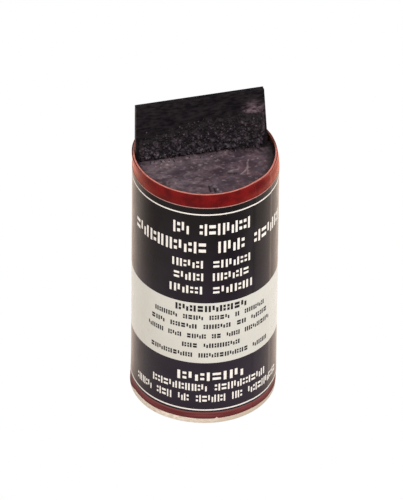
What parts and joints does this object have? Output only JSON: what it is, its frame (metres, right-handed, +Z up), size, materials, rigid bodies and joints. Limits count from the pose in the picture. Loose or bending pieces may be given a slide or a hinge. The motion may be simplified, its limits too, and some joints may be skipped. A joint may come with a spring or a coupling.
{
  "type": "emergency wax flare",
  "caption": "Round paper tube filled with dark wax, with a wide flat board wick standing up out of it and a printed paper label over a red wrap.",
  "frame": {"origin": "centre of the flat underside of the tube", "axes": "+Z up the tube, +X along the width of the wick board, -Y towards the side that the printed label faces"},
  "size_m": [0.052, 0.052, 0.1217],
  "materials": {
    "printed_label": "gloss",
    "red_paper": "satin",
    "pale_board": "matte",
    "waxed_paper": "satin",
    "dark_wax": "satin",
    "soaked_board": "matte",
    "granular_wax": "satin"
  },
  "bodies": {
    "root": {"label": "printed_label", "red_wrap": "red_paper", "tube_outer_ply": "pale_board", "tube_inner_ply": "pale_board", "bore_liner": "waxed_paper", "base_plug": "pale_board", "wax_front": "dark_wax", "wax_rear": "dark_wax", "wick_board": "soaked_board", "wick_crust_front": "granular_wax", "wick_crust_rear": "granular_wax"}
  },
  "joints": []
}
